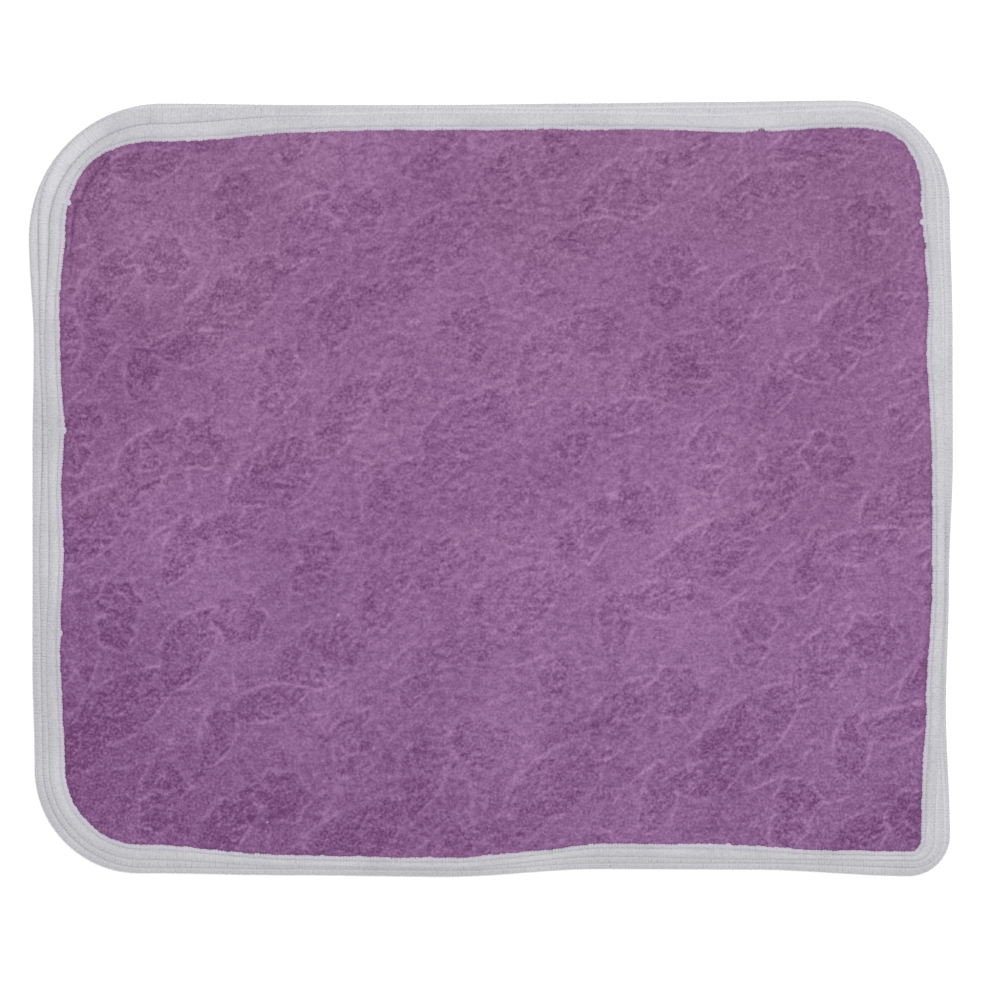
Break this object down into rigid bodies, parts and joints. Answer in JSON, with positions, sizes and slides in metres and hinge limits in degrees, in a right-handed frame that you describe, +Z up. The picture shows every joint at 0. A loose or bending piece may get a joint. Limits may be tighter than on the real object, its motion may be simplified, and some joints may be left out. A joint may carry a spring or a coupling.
{
  "type": "quick dry towel stack",
  "caption": "Small stack of rectangular purple terry quick-dry towels, edges bound all round with white overlock stitching, lying loose and flat on each other.",
  "frame": {"origin": "under the middle of the stack, on the surface it lies on", "axes": "+X along the towels' long side, +Y along the short side, +Z up through the stack"},
  "size_m": [0.3096, 0.261, 0.0084],
  "materials": {
    "terry_cloth": "matte looped pile, brushed in patches",
    "overlock_thread": "matte bulky sewing thread"
  },
  "bodies": {
    "bottom_towel": {"bottom_panel": "terry_cloth", "bottom_needle_thread": "overlock_thread", "bottom_upper_looper": "overlock_thread", "bottom_lower_looper": "overlock_thread"},
    "middle_towel": {"middle_panel": "terry_cloth", "middle_needle_thread": "overlock_thread", "middle_upper_looper": "overlock_thread", "middle_lower_looper": "overlock_thread"},
    "top_towel": {"top_panel": "terry_cloth", "top_needle_thread": "overlock_thread", "top_upper_looper": "overlock_thread", "top_lower_looper": "overlock_thread"}
  },
  "joints": [
    {"name": "middle_lift", "type": "slide", "parent": "bottom_towel", "child": "middle_towel", "axis": [0, 0, 1], "range_m": [0, 0.05]},
    {"name": "top_lift", "type": "slide", "parent": "middle_towel", "child": "top_towel", "axis": [0, 0, 1], "range_m": [0, 0.05]}
  ]
}
